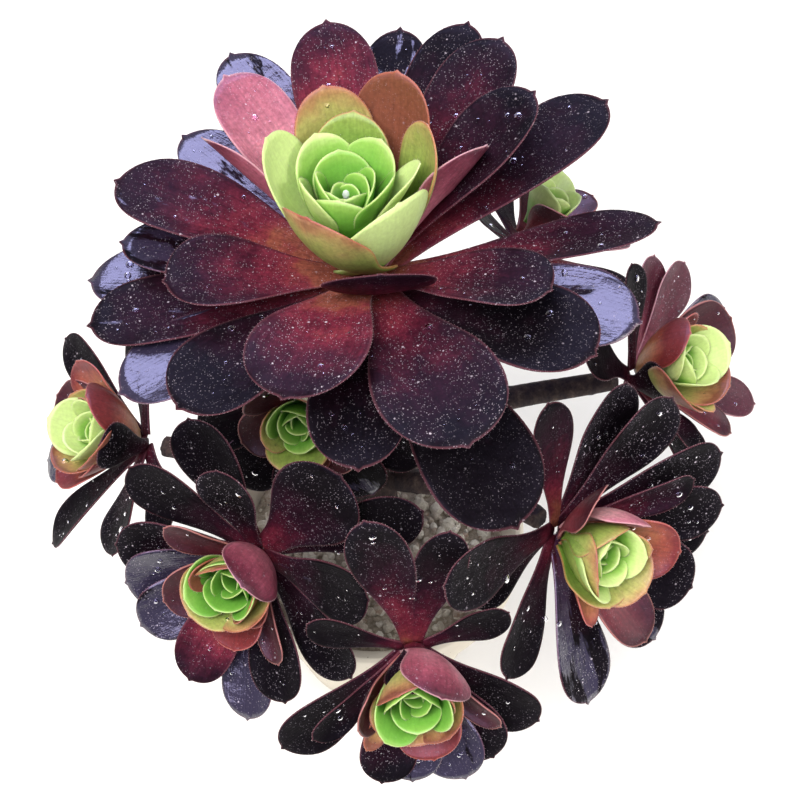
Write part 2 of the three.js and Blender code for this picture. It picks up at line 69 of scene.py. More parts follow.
# Hairs on the margin of a leaf longer and shorter than LONG_LEAF.
LONG_LEAF = 60
HAIRS_LONG, HAIRS_SHORT = 110, 56

# Node kinds that come up again and again. A second word is the node's operation.
MATH = "ShaderNodeMath"
TIMES = "ShaderNodeMath MULTIPLY"
TIMES_PLUS = "ShaderNodeMath MULTIPLY_ADD"
VECTOR = "ShaderNodeVectorMath"
MAPPING = "ShaderNodeMapping"
RANGE = "ShaderNodeMapRange"
NOISE = "ShaderNodeTexNoise"
CELLS = "ShaderNodeTexVoronoi"
MIX = "ShaderNodeMix"
COLOUR = {"output": 2, "data_type": "RGBA"}
RAMP = "ShaderNodeValToRGB"
PLACE = "ShaderNodeTexCoord"
VALUE = "ShaderNodeAttribute"
GREY = "ShaderNodeCombineXYZ"
BUMP = "ShaderNodeBump"
LIGHT = "ShaderNodeBackground"
BLEND = "ShaderNodeMixShader"
SHADER = "ShaderNodeBsdfPrincipled"
MATERIAL_OUTPUT = "ShaderNodeOutputMaterial"

# Leaf blanks: half width at the root as a share of the widest, share of the length at the
# widest, columns, rows below and above that, how square the end is, the rim's
# thinness and the point at the tip.
BLANKS = {
    "spoon": (0.3, 0.75, 16, 18, 6, 2.3, 0.24, 0.02),
    "cupped": (0.48, 0.667, 16, 14, 7, 2.4, 0.3, 0.024),
    "shell": (0.8, 0.62, 16, 14, 7, 2.5, 0.3, 0.015),
    "rose": (0.55, 0.625, 12, 10, 6, 2.2, 0.34, 0.03),
}


def leaf_rows(text):
    """A leaf to a line: azimuth about the head's axis, pitch, bend, length, width and height of
    the root up the stem. Then come its tone, wetness and dust, which a dash or an end leaves to
    its kind and to chance, and by name its own skin, cup or twist."""
    rows = []
    for line in text.strip().splitlines():
        words = line.split()
        own = {}
        while words[-2].isalpha():
            value = words.pop()
            own[words.pop()] = value if value.isalpha() else float(value)
        for key, word in zip(("tone", "wet", "dust"), words[6:]):
            if word != "-":
                own[key] = float(word)
        rows.append([float(word) for word in words[:6]] + [own])
    return rows


def side_head(root, axis, heart_axis, first, size, tone, text):
    """A side head: its root from the crown and its axis, its heart's axis, first azimuth, leaf
    length and tone, and rows of dark, red and collar leaves with an empty line between them."""
    dark, red, collar = (text.split("\n\n") + [""])[:3]
    return {
        "root": root, "axis": axis, "heart": (heart_axis, first, size, tone),
        "dark": leaf_rows(dark), "red": leaf_rows(red), "collar": leaf_rows(collar),
    }


# The tones in these tables are partly each leaf's own colour and partly painted light and shade:
# leaves in shade are toned darker, lit ones lighter.
MAIN_DARK = leaf_rows("""
120 24 -8 128 36 5 .05 .9 .5
98 34 -6 117 40 6 -.5 .2 .8
81 26 -6 121 34 4 .1 .6
63 32 -6 121 34 5 .1 .4
51 35 -6 116 40 6 -.15 .2 .8
29 20 -4 127 40 5 0 .4 .6
7 2 2 126 34 4 -.15 .3 1 twist 14
332 26 -16 88 42 6 -.2 .1 1 twist 8
340 7 -6 118 46 2 .1 .86 .5
325 14 -8 112 48 0 .3 .3 .5
291 17 -18 113 54 4 -.05 .1 .9
269 15 -18 107 42 0 .15 .3 .5
252 34 -34 96 50 6 -.3 .1 1
227 13 -8 107 46 2 .1 .3 .6
211 8 -8 117 42 0 .1 .9 .4
194 22 -10 86 44 6 -.3 .2 .9 cup 34
192 6 -4 120 42 3 -.1 .5 .9
178 6 -4 122 40 0 .05 .9 .3
173 14 -4 108 34 0 -.05 .8 .5
163 20 -4 116 44 5 -.25 .5 1
141 20 -4 109 34 1 .1 .9 .3
299 -16 -6 124 52 -2 .3 .3 .3
""")
MAIN_RED = leaf_rows("""
133 42 -8 100 36 11 -.42 .4 .8
153 40 -8 86 34 11 -.1 .1 twist -55
14 48 -4 74 34 11 -.1 .1 twist 55
28 38 -6 100 38 11 -.1 .2 .5 skin dark
284 15 62 50 48 10 -.35 .1 skin dark cup 12 twist 12
""")
MAIN_RING = leaf_rows("""
107 30 62 78 38 16 -.3
64 30 58 83 40 16 .55
163 40 46 72 38 16 .7 skin heart cup 40
22 32 64 72 34 16 -.35
""")
# The two broad shells in front of the big heart.
MAIN_SHELL = leaf_rows("""
235 36 54 61 46 15 -.2
309 41 48 62 46 15 .55 skin heart
""")
# The big heart has its own root and axis.
# The low tone of its first collar leaf is partly painted shade.
MAIN_HEART = leaf_rows("""
84 52 26 57 38 4 -.75 skin collar
126 52 26 48 34 6 -.1
48 52 26 46 34 7 -.1
206 54 26 44 26 5 .3
350 50 20 57 24 5 .5
103 56 26 36 29 10 -.18
336 52 26 44 28 9 -.18
258 46 50 36 32 8 -.18
10 60 26 32 24 12 -.18
197 60 26 33 22 13 -.18
28 62 26 24 22 15 -.18
235 60 26 28 20 14 -.18
300 66 24 20 19 17 -.18
150 70 20 16 14 19 -.18
60 74 16 13 12 21 -.18
262 76 16 11 10 22 -.18
""")

# Each head's tone, which sets its heart's greens, is partly painted light and shade: lit heads are
# toned paler, the shaded front ones darker.
SIDE_HEADS = {
    "left": side_head(
        [-112, -18, -107], [-0.8, -0.15, 0.58], [-0.74, -0.3, 0.9], 160, 37, 0.5, """
126 22 -4 79 24 3 - .2
75 15 0 54 28 3
206 10 -4 85 22 2 .35 .4 cup 50
262 12 -4 54 30 3
150 22 -6 68 30 4
178 22 -6 66 30 4 - 1
330 44 26 40 24 5 .35 - .9
300 0 0 52 28 1

136 46 0 44 32 9 .5
92 42 10 45 30 9 skin amber
282 50 10 33 28 9 .3 skin amber
217 44 0 40 28 9 .2 skin amber
176 48 0 39 30 9 -.1 skin amber
24 32 60 44 30 9 .3 skin amber

62 54 40 34 26 2 -.3
112 52 26 34 30 1 -.35
232 50 22 37 32 1 -.05
304 52 24 36 32 1 .05
"""),
    "under": side_head(
        [-30, -8, -76], [-0.2, -0.88, 0.36], [-0.1, -0.82, 0.5], 20, 30, -0.2, """
198 22 -4 52 31 3
232 20 -4 56 33 3
306 14 -4 54 33 3 .35
342 12 -4 60 33 2
270 30 -4 50 30 3

205 42 0 33 28 9 .5
281 44 10 34 30 9 .1 skin amber
340 42 4 40 30 9 .6
130 50 4 36 30 9 .5

194 56 24 30 24 2 -.35 cup 50
60 54 24 33 28 1 -.35
268 50 24 34 32 1 -.5
"""),
    "front_left": side_head(
        [-52, -81, -100], [-0.365, -0.83, 0.42], [-0.3, -0.76, 0.66], 195, 36, -0.35, """
136 20 -4 70 30 4
96 24 -4 58 28 4 - - 1
112 8 -4 72 33 1
52 12 -8 74 44 3 .2 - .7
4 20 -6 62 35 4 - - .4
322 20 -6 68 30 3
276 28 0 76 28 3 - 1
296 32 -4 66 30 4 - - .4
174 26 -4 62 33 4 .15
192 30 0 60 33 3 - 1
214 34 0 62 31 3 .45 1
28 2 -4 88 28 1

249 32 0 62 30 9 -.35 .4 skin dark
48 28 76 46 34 9 -.05 skin pink
318 48 20 32 22 9 .05 skin amber cup 44
199 44 6 42 28 9 .2
279 48 10 40 28 9 .2 skin amber
302 32 0 46 15 9 .5 cup 64
145 30 0 42 18 9 .6 cup 60

168 56 26 33 18 2 .25 cup 58
108 58 44 34 30 2 -.15
338 56 34 34 34 2 .12
220 50 24 37 36 0 -.4
302 50 24 35 34 0 -.2
"""),
    "front": side_head(
        [19, -126, -106], [0.05, -0.94, 0.3], [0.03, -0.9, 0.42], 220, 37, -0.3, """
103 8 -4 90 28 3 .05
80 8 -4 80 24 3 .05
34 8 -2 46 20 3 .25
150 10 -4 50 18 3
212 22 -4 72 30 2 - .3
205 36 -4 56 18 4 .15 cup 50
335 24 -4 62 30 3
311 34 -4 58 33 4 .15
252 38 0 60 28 3 0
268 36 0 58 28 4 - 1
294 36 -2 62 30 3 - 1
88 52 60 34 30 6 .15 - .6

187 44 30 43 28 9 .35
330 30 0 46 14 9 .6 cup 64
62 30 74 45 36 9 0 skin pink
284 46 10 43 32 9 .45 skin amber

122 56 32 34 32 2 0
252 50 24 35 38 0 -.25
314 50 26 36 32 0 -.1
226 42 10 40 13 1 0 cup 60
18 54 30 34 18 2 -.2 cup 50
"""),
    "front_right": side_head(
        [84, -77, -84], [0.62, -0.68, 0.4], [0.56, -0.68, 0.48], 222, 36, 0.1, """
106 10 -2 76 24 3 -.05
72 12 -2 74 31 3 - - 1
53 18 -4 76 37 4 - - 1
20 24 -4 82 33 3 - - 1
4 32 -4 76 30 4 - - .6
24 36 -8 62 20 5 -.1 - .8 cup 56
350 28 -2 74 31 2
328 38 -2 68 35 4 .15
300 34 -2 70 31 3 - .6
265 26 -2 80 33 3 - .75 .8
228 18 -2 68 28 3 - .3
172 14 -4 80 34 3 - .1
200 2 -4 50 26 1

293 36 0 61 28 9 .05
108 27 26 45 26 10 .05 twist -18
62 30 72 44 33 9 -.7 skin pink
352 46 6 50 32 9 -.05 skin amber
258 42 0 40 14 9 -.1 skin amber cup 60

186 56 36 36 34 2 -.25
262 50 24 36 36 0 -.45
312 50 22 40 34 0 -.3
12 56 24 36 18 2 -.3 cup 50
104 56 32 33 30 2 -.5
"""),
    "right": side_head(
        [127, 8, -86], [0.72, -0.2, 0.6], [0.66, -0.24, 0.75], 30, 38, 0.52, """
95 20 -2 56 24 3 .3 - 1 skin pink
75 24 -4 60 24 4 .3 - 1 skin pink
125 24 -4 54 24 4
40 24 -4 66 30 4 .05 1
355 24 0 71 22 4 .6 skin pink
312 12 0 58 30 3
294 30 0 42 20 5 -.05 cup 50
222 50 26 34 26 4 .25
180 10 0 52 26 2
240 4 0 56 30 2

112 52 20 40 24 9 .2 skin amber
45 42 4 50 38 9 .45
325 30 0 50 18 9 .1 cup 50
160 34 62 46 28 9 .25 skin amber

332 50 24 38 36 0 .05
242 46 18 42 34 0 .12
70 54 26 33 20 2 -.35 cup 50
286 46 18 38 16 1 -.3 cup 54
"""),
    "back_right": side_head(
        [73, 62, -55], [0.5, 0.45, 0.75], [0.46, 0.3, 0.85], 87, 30, 0.3, """
120 16 -4 60 28 3
36 20 -2 66 28 3 .6 skin pink
75 16 -4 66 30 4
350 12 -4 60 26 3 -.05
232 16 -4 46 26 3
285 14 -4 60 30 3 - 1
168 11 -4 54 28 3

47 46 0 41 22 9 .2
95 46 0 40 30 9 .3
8 44 0 38 30 9 skin amber
320 44 0 44 28 9 .2 skin amber
275 44 0 38 28 9 .2
"""),
    "back_left": side_head(
        [-72, 55, -74], [-0.55, 0.42, 0.72], [-0.5, 0.28, 0.82], 200, 29, 0.1, """
100 14 -4 64 30 3
140 18 -4 66 30 4
180 14 -4 64 28 3
222 10 -4 50 28 3
262 12 -4 56 28 4
320 8 -4 50 26 3
40 14 -4 60 28 3

80 46 0 44 30 9 .3
125 48 0 46 30 9 .1
170 46 0 46 30 9 skin amber
225 46 0 42 30 9 .4
285 46 0 40 28 9 .3 skin amber
"""),
}

# What sets the finish of one leaf skin apart from another's, in the order of skins().
FINISH = (
    "patchy", "edge_run", "rim", "specks", "waves", "mottle", "bump", "roughness", "glow", "shine",
    "coat", "cool", "bloom",
)

# Where each branch leaves the trunk, and how far it runs straight at each end.
BRANCHES = {
    "left": [0.5, 60, 50],
    "under": [0.66, 22, 16],
    "front_left": [0.44, 40, 50],
    "front": [0.36, 55, 55],
    "front_right": [0.48, 50, 50],
    "right": [0.58, 60, 45],
    "back_right": [0.62, 45, 35],
    "back_left": [0.56, 45, 35],
}


def mode(name):
    bpy.ops.object.mode_set(mode=name)


def deselect_everything():
    bpy.ops.object.select_all(action="DESELECT")


def take(piece, *others):
    """Makes a piece the active one, alone or with others selected beside it."""
    deselect_everything()
    for each in (piece, *others):
        each.select_set(True)
    bpy.context.view_layer.objects.active = piece


def placed(name, data):
    """A new object with this data, in the scene."""
    piece = bpy.data.objects.new(name, data)
    bpy.context.scene.collection.objects.link(piece)
    return piece


def discard(*blanks):
    for blank in blanks:
        bpy.data.objects.remove(blank)


def valued(piece, key, value):
    """Gives all points of a piece this value, for its material to read."""
    layer = piece.data.attributes.new(key, "FLOAT", "POINT")
    layer.data.foreach_set("value", np.full(len(piece.data.vertices), value, np.float32))


def named(name):
    """Names the active object, which a step before has just made or joined."""
    piece = bpy.context.object
    piece.name = name
    piece.data.name = name
    return piece


def pick(piece, wanted):
    """In edit mode, selects the vertices that pass a test, and only those."""
    bpy.ops.mesh.select_all(action="DESELECT")
    mesh = bmesh.from_edit_mesh(piece.data)
    for vertex in mesh.verts:
        vertex.select = bool(wanted(vertex))
    mesh.select_flush_mode()
    bmesh.update_edit_mesh(piece.data)


def finished(piece, kind, **settings):
    """Adds a modifier to a piece and applies it."""
    take(piece)
    modifier = piece.modifiers.new(kind.title(), kind)
    for key, value in settings.items():
        setattr(modifier, key, value)
    bpy.ops.object.modifier_apply(modifier=modifier.name)


def linear(hex_code):
    """An sRGB hex colour as linear light, with an alpha of 1."""
    parts = [int(hex_code[i : i + 2], 16) / 255 for i in (1, 3, 5)]
    return [c / 12.92 if c <= 0.04045 else ((c + 0.055) / 1.055) ** 2.4 for c in parts] + [1.0]


def add_node(tree, kind, inputs=(), output=0, stops="", **settings):
    """Adds a node with its settings, its inputs as values or as links, by name or in order,
    and a ramp's places and colours. It gives back one of the node's outputs."""
    kind, *operation = kind.split()
    node = tree.nodes.new(kind)
    if operation:
        node.operation = operation[0]
    for key, value in settings.items():
        setattr(node, key, value)
    for key, value in inputs.items() if isinstance(inputs, dict) else enumerate(inputs):
        if isinstance(value, bpy.types.NodeSocket):
            tree.links.new(value, node.inputs[key])
        else:
            node.inputs[key].default_value = value
    if stops:
        words = stops.split()
        elements = node.color_ramp.elements
        while len(elements) < len(words) / 2:
            elements.new(0.5)
        for element, spot, hex_code in zip(elements, words[::2], words[1::2]):
            element.position = float(spot)
            element.color = linear(hex_code)
    return node.outputs[output] if node.outputs else None


def emptied(holder):
    """Clears a material's or world's nodes, and gives the function that adds nodes to it."""
    holder.use_nodes = True
    holder.node_tree.nodes.clear()
    return functools.partial(add_node, holder.node_tree)


def new_material(name):
    material = bpy.data.materials.new(name)
    return material, emptied(material)


def draws(chance, low, high, count):
    return np.array([chance.uniform(low, high) for _ in range(count)])


def unit(vector):
    return vector / np.linalg.norm(vector)


def along(points, run, goals):
    """Where a line of points, at these distances along it, passes the goals."""
    return np.stack([np.interp(goals, run, points[:, k]) for k in range(points.shape[1])], 1)


def distances(points):
    """How far along a line of points each of them is."""
    return np.concatenate([[0], np.cumsum(np.linalg.norm(np.diff(points, axis=0), axis=1))])


def lime_specks(add, where, apart_mm, radius_mm, share):
    """Uneven specks, one to a cell of this size, in this share of the cells."""
    wobble = add(NOISE, {"Vector": where, "Scale": 900, "Detail": 1}, output=1)
    off = add(VECTOR, [wobble, (0.0006, 0.0006, 0.0006)], operation="MULTIPLY")
    spot = add(VECTOR, [where, off], operation="ADD")
    dot = add(CELLS, {"Vector": spot, "Scale": 1 / (apart_mm * MM)})
    chance = add("ShaderNodeSeparateColor", [dot.node.outputs["Color"]])
    size = chance.node.outputs[1]
    kept = add(MATH, [chance, share], operation="LESS_THAN")
    edge = radius_mm / apart_mm
    reach = add(TIMES_PLUS, [size, edge * 0.9, edge * 0.35])
    dome = add(RANGE, [dot, reach, 0, 0, 1.6])
    return add(TIMES, [dome, kept], use_clamp=True)


def shaded(add, colour, shade):
    """A colour made darker or lighter by a factor."""
    shade = add(GREY, [shade] * 3)
    return add(MIX, {0: 1, 6: colour, 7: shade}, **COLOUR, blend_type="MULTIPLY")


def leaf_skin(name, colours, rim, widest, *finish):
    """The skin of a fleshy leaf: its colours from root to tip, the colour of its margin, the
    share of the length where it is widest, and its finish."""
    finish = dict(zip(FINISH, finish))
    material, add = new_material(name)
    place = add(PLACE, output="Object")
    shares = add("ShaderNodeUVMap", uv_map="LeafShare")
    side = add("ShaderNodeSeparateXYZ", [shares])
    run = side.node.outputs[1]
    tone, wet, dust = (
        add(VALUE, output="Fac", attribute_name=key) for key in ("tone", "wet", "dust")
    )

    # Out from the midrib to the margin, and on to the tip's own edge.
    across = add(TIMES_PLUS, [side, 2, -1])
    across = add(MATH, [across], operation="ABSOLUTE")
    tip = add(RANGE, [run, widest, 1])
    edge = add(MATH, [across, tip], operation="MAXIMUM")

    # Patches 16 mm and 5 mm across blur the change of colour along the leaf.
    broad = add(NOISE, {"Vector": place, "Scale": 62, "Detail": 3, "Roughness": 0.6})
    broad = add(RANGE, [broad, 0.25, 0.75, -0.5, 0.5])
    turned = add(TIMES_PLUS, [broad, finish["patchy"], run])
    turned = add(MATH, [turned, tone], operation="ADD")
    outward = add(MATH, [edge, 3], operation="POWER")
    turned = add(TIMES_PLUS, [outward, finish["edge_run"], turned])
    colour = add(RAMP, [turned], stops=colours)

    # Fine mottling 1.6 mm across, and faint veins that run the length of the leaf.
    mottle = add(NOISE, {"Vector": place, "Scale": 620, "Detail": 4})
    mottle = add(RANGE, [mottle, 0.3, 0.7, 1 - finish["mottle"], 1 + finish["mottle"]])
    strands = add(MAPPING, {"Vector": shares, "Scale": (34, 2.2, 1)})
    vein = add(NOISE, {"Vector": strands, "Scale": 1, "Detail": 3})
    vein = add(RANGE, [vein, 0.32, 0.68, 1 - 0.7 * finish["mottle"], 1 + 0.6 * finish["mottle"]])
    shade = add(TIMES, [mottle, vein])
    colour = shaded(add, colour, shade)

    # The thin margin, and specks of lime and dust.
    margin = add(RANGE, [edge, 0.955, 1, 0, finish["rim"]])
    colour = add(MIX, {0: margin, 6: colour, 7: linear(rim)}, **COLOUR)
    fine = lime_specks(add, place, 0.85, 0.27, 0.75)
    fine = add(TIMES, [fine, 0.6])
    coarse = lime_specks(add, place, 3.4, 0.58, 0.5)
    speck = add(MATH, [fine, coarse], operation="MAXIMUM")
    gathered = add(NOISE, {"Vector": place, "Scale": 75, "Detail": 2})
    gathered = add(RANGE, [gathered, 0.34, 0.54])
    # A lilac bloom gathers towards the tip and the margin: partly fine dust, partly a painted
    # sheen of the sky.
    bloom = add(TIMES, [outward, gathered])
    bloom = add(TIMES, [bloom, dust])
    bloom = add(TIMES, [bloom, finish["bloom"]], use_clamp=True)
    colour = add(MIX, {0: bloom, 6: colour, 7: linear("#a497b8")}, **COLOUR)
    speck = add(TIMES, [speck, gathered])
    speck = add(TIMES, [speck, dust])
    shown = add(TIMES, [speck, finish["specks"]])
    colour = add(MIX, {0: shown, 6: colour, 7: linear("#cfc2cf")}, **COLOUR)

    # Slow waves 11 mm long, wrinkles 3 mm across, finer pits, and the specks as small domes.
    waves = add(NOISE, {"Vector": place, "Scale": 90, "Detail": 1})
    wrinkles = add(NOISE, {"Vector": place, "Scale": 320, "Detail": 3, "Roughness": 0.55})
    height = add(TIMES_PLUS, [waves, finish["waves"], wrinkles])
    height = add(TIMES_PLUS, [vein, 0.5, height])
    height = add(TIMES_PLUS, [speck, 0.4, height])
    bump = add(BUMP, {"Strength": finish["bump"], "Distance": 0.0011, "Height": height})

    # A film of water lies in ragged patches, which have run along the leaf.
    run_down = add(MAPPING, {"Vector": shares, "Scale": (3.6, 2.6, 1)})
    run_down = add(VECTOR, [place, (30, 30, 30), run_down], operation="MULTIPLY_ADD")
    film = add(NOISE, {"Vector": run_down, "Scale": 1, "Detail": 6, "Roughness": 0.6})
    film = add(TIMES_PLUS, [wet, 0.5, film])
    film = add(RANGE, [film, 0.85, 0.9])
    coat = add(TIMES, [film, finish["coat"]], use_clamp=True)
    # The film's lavender tint, strongest along the veins, is a painted reflection of the sky.
    cool = add(TIMES, [film, vein])
    cool = add(TIMES, [cool, finish["cool"]], use_clamp=True)
    colour = add(MIX, {0: cool, 6: colour, 7: linear("#7d72a4")}, **COLOUR)
    dull = add(TIMES_PLUS, [speck, 0.2, finish["roughness"]])

    shader = add(SHADER, {
        "Base Color": colour,
        "Roughness": dull,
        "IOR": 1.45,
        "Specular IOR Level": finish["shine"],
        "Normal": bump,
        "Subsurface Weight": finish["glow"],
        "Subsurface Radius": (0.004, 0.005, 0.002),
        "Subsurface Scale": 0.5,
        "Coat Weight": coat,
        "Coat Roughness": 0.1,
        "Coat IOR": 1.6,
        "Coat Normal": bump,
    })
    add(MATERIAL_OUTPUT, [shader])
    return material


def skins():
    """The leaf skins, from the near-black skirt to the bright heart."""
    return {
        # Near-black purple cuticle, wet in patches: rust at the root, wine red, black at the tip.
        # Its wet film carries a painted sky reflection, and its tips and margins a painted sheen.
        "dark": leaf_skin(
            "dark_leaf_wet_cuticle",
            "0 #7d4437 .08 #743035 .22 #61202f .4 #3f1422 .6 #220c18 .95 #0a060a",
            "#7d4a54", 0.75,
            0.36, 0.1, 0.4, 0.9, 2.4, 0.3, 0.34, 0.5, 0, 0.06, 1, 0.1, 0.02,
        ),
        # Pink leaves of the big head, which turn bronze on the right, with a faint painted sky
        # reflection and sheen.
        "pink": leaf_skin(
            "pink_leaf_cuticle",
            "0 #c48f92 .25 #b56e7c .6 #8e4757 .85 #662a3a 1 #4c1b28",
            "#cf9aa2", 0.75,
            0.3, 0.1, 0.7, 0.7, 1.6, 0.24, 0.25, 0.45, 0.05, 0.4, 0.6, 0.06, 0.03,
        ),
        # Pink-red cuticle of the younger leaves, deepening to maroon.
        "red": leaf_skin(
            "red_leaf_cuticle",
            "0 #b8766c .22 #a04e50 .45 #84363e .7 #622029 1 #3a1119",
            "#bb7a74", 0.667,
            0.3, 0.1, 0.65, 0.5, 1.6, 0.22, 0.25, 0.45, 0.06, 0.4, 0.4, 0, 0,
        ),
        # Tan and orange leaves that redden at the tip.
        "amber": leaf_skin(
            "amber_leaf_cuticle",
            "0 #a39a58 .3 #ab8750 .55 #a46c46 .8 #8f4634 1 #6c2626",
            "#b8655c", 0.667,
            0.3, 0.16, 0.65, 0.4, 1.4, 0.2, 0.22, 0.44, 0.08, 0.4, 0.4, 0, 0,
        ),
        # Olive-yellow collar leaves with a rusty rim.
        "collar": leaf_skin(
            "collar_leaf_cuticle",
            "0 #6b8a35 .4 #8f9f50 .65 #a89f5e .85 #a97f56 1 #7a4634",
            "#ad5f48", 0.667,
            0.3, 0.14, 0.6, 0.3, 1.4, 0.16, 0.2, 0.42, 0.1, 0.45, 0.4, 0, 0,
        ),
        # Bright green cuticle of the young heart, paler to the tips, with a whitish margin. Its
        # deeper green towards the root is partly painted shade deep in the rosette.
        "heart": leaf_skin(
            "heart_leaf_cuticle",
            "0 #427825 .3 #568e31 .6 #6ea540 .8 #8fb957 1 #c2d68b",
            "#bccb86", 0.625,
            0.2, 0.08, 0.6, 0.2, 1.4, 0.07, 0.16, 0.4, 0.12, 0.45, 0.4, 0, 0,
        ),
    }


def swell(base, share):
    return base + (1 - base) * (1 - math.cos(math.pi * share**1.25)) / 2


def leaf_blank(kind):
    """A flat leaf, modelled once: x is its share of the half width, y its share of the length
    and z its share of the thickness. Its UV map gives the place across and along it."""
    base, widest, columns, lower, cap, square, thin, point = BLANKS[kind]
    deselect_everything()
    bpy.ops.mesh.primitive_grid_add(
        x_subdivisions=columns, y_subdivisions=lower + cap, size=2, calc_uvs=True
    )
    blank = named(kind + "_blank")
    blank.data.uv_layers[0].name = "LeafShare"
    wide = columns + 1
    last = lower + cap
    mode("EDIT")
    for row in range(last + 1):
        now = -1 + 2 * row / last
        pick(blank, lambda vertex: vertex.index // wide == row)
        if row <= lower:
            share = row / lower
            size = swell(base, share)
            goal = widest * share
        else:
            share = (row - lower) / cap
            size = (1 - share**square / 2) ** (1 / square)
            goal = widest + (1 - widest) * share
        bpy.ops.transform.translate(value=(0, goal - now, 0))
        bpy.ops.transform.resize(value=(size, 1, 1), center_override=(0, goal, 0))
    for column in range(wide):
        side = abs(-1 + 2 * column / columns)
        pick(blank, lambda v: v.index % wide == column and v.index // wide > lower)
        round_off = (1 - side**square / 2) ** (1 / square)
        bpy.ops.transform.resize(value=(1, round_off, 1), center_override=(0, widest, 0))
        for row in range(lower + 1, last + 1):
            pick(blank, lambda v: v.index % wide == column and v.index // wide == row)
            push = point * (1 - side) * (row - lower) / cap
            bpy.ops.transform.translate(value=(0, push, 0))
    middle = columns // 2
    pick(blank, lambda v: v.index // wide == last and v.index % wide == middle)
    bpy.ops.transform.translate(value=(0, 0.014, 0))
    pick(blank, lambda v: v.index // wide == 0)
    bpy.ops.transform.translate(value=(0, -0.04, 0))
    mode("OBJECT")
    plump = blank.vertex_groups.new(name="plump")
    for vertex in blank.data.vertices:
        row, column = divmod(vertex.index, wide)
        inward = min(column, columns - column, last - row) / (columns / 2)
        plump.add([vertex.index], min(1.0, inward**0.6), "REPLACE")
    finished(
        blank, "SOLIDIFY", thickness=1.0, offset=0.0, vertex_group="plump",
        thickness_vertex_group=thin,
    )
    return blank


def fringe_blank(count):
    """A row of this many thin hairs, 3 apart and 1 tall."""
    deselect_everything()
    bpy.ops.mesh.primitive_cone_add(vertices=3, radius1=1, depth=1, location=(0, 0, 0.5))
    bpy.ops.object.transform_apply(location=True)
    blank = named("fringe_blank_" + str(count))
    finished(
        blank, "ARRAY", count=count, use_relative_offset=False, use_constant_offset=True,
        constant_offset_displace=(3, 0, 0),
    )
    return blank


def head_frame(axis):
    z = unit(np.array(axis, float))
    x = unit(np.array([1.0, 0.0, 0.0]) - z[0] * z)
    return x, np.cross(z, x), z


class Leaf:
    """Where a leaf lies: its line out from the stem, with its width and cup at each place."""

    def __init__(self, root, axis, row, kind, start, cup, thick, tone, chance):
        azimuth, pitch, bend, length, width, height, own = row
        x, y, z = head_frame(axis)
        out = math.cos(math.radians(azimuth)) * x + math.sin(math.radians(azimuth)) * y
        lift = np.radians(pitch + bend * STATIONS)[:, None]
        self.ahead = np.cos(lift) * out + np.sin(lift) * z
        face = -np.sin(lift) * out + np.cos(lift) * z
        side = np.cross(self.ahead, face)
        turn = np.radians(own.get("twist", 0) * np.minimum(1.0, 1.6 * STATIONS))[:, None]
        self.across = np.cos(turn) * side + np.sin(turn) * face
        self.up = -np.sin(turn) * side + np.cos(turn) * face
        length *= LEAF_SHARE
        step = self.ahead * length / (len(STATIONS) - 1)
        begin = np.array(root) + height * z + start * out
        sway = chance.uniform(-0.018, 0.018) * length * np.sin(math.pi * STATIONS)[:, None]
        self.middle = begin + np.vstack([np.zeros(3), np.cumsum(step, axis=0)[:-1]]) + sway * side
        self.kind = kind
        self.length = length
        self.half = width / 2
        self.cup = math.radians(own.get("cup", cup))
        self.thick = thick
        self.wave = chance.uniform(0.3, 1.0) * 0.03 * width
        self.turns = chance.uniform(0.8, 1.9)
        self.phase = chance.uniform(0, 2 * math.pi)
        self.skin = own.get("skin")
        self.finish = {
            "tone": own.get("tone", tone) + chance.uniform(-0.05, 0.05),
            "wet": own.get("wet", chance.uniform(0.0, 0.4)),
            "dust": own.get("dust", chance.uniform(0.2, 0.8)),
        }

    def at(self, share):
        """Middle, across, up and ahead at shares of the length, also a little before it."""
        lines = (self.middle, self.across, self.up, self.ahead)
        middle, across, up, ahead = (along(line, STATIONS, share) for line in lines)
        beyond = (share - np.clip(share, 0, 1)) * self.length
        return middle + beyond[:, None] * ahead, across, up, ahead

    def place(self, spots):
        """The blank's points on this leaf, in millimetres, with the way up at each."""
        side, share, depth = spots.T
        held = np.clip(share, 0, 1)
        middle, across, up, _ = self.at(share)
        cup = self.cup * (1.25 - 0.5 * held)
        lean = side * cup
        radius = self.half / cup
        swing = np.sin(2 * math.pi * self.turns * share + self.phase)
        wave = self.wave * side * np.abs(side) * swing
        rise = radius * (1 - np.cos(lean)) + wave * held
        top = np.cos(lean)[:, None] * up - np.sin(lean)[:, None] * across
        fat = self.thick * (1.25 - 0.55 * held)
        points = middle + (radius * np.sin(lean))[:, None] * across + rise[:, None] * up
        return points + (depth * fat)[:, None] * top, top


def blank_points(blank):
    spots = np.zeros(len(blank.data.vertices) * 3)
    blank.data.vertices.foreach_get("co", spots)
    return spots.reshape(-1, 3)


def copy_of(name, blank, points_mm, material):
    """A copy of a blank with its own mesh, its points put in these places."""
    mesh = blank.data.copy()
    mesh.name = name
    mesh.vertices.foreach_set("co", (points_mm * MM).astype(np.float32).ravel())
    mesh.update()
    mesh.materials.clear()
    if material:
        mesh.materials.append(material)
    return placed(name, mesh)


def joined(name, objects):
    """Objects made one, as a piece of this name."""
    take(objects[0], *objects[1:])
    if len(objects) > 1:
        bpy.ops.object.join()
    piece = named(name)
    bpy.ops.object.shade_smooth()
    return piece


def leaf_object(name, blank, spots, leaf, material):
    piece = copy_of(name, blank, leaf.place(spots)[0], material)
    for key, value in leaf.finish.items():
        valued(piece, key, value)
    return piece


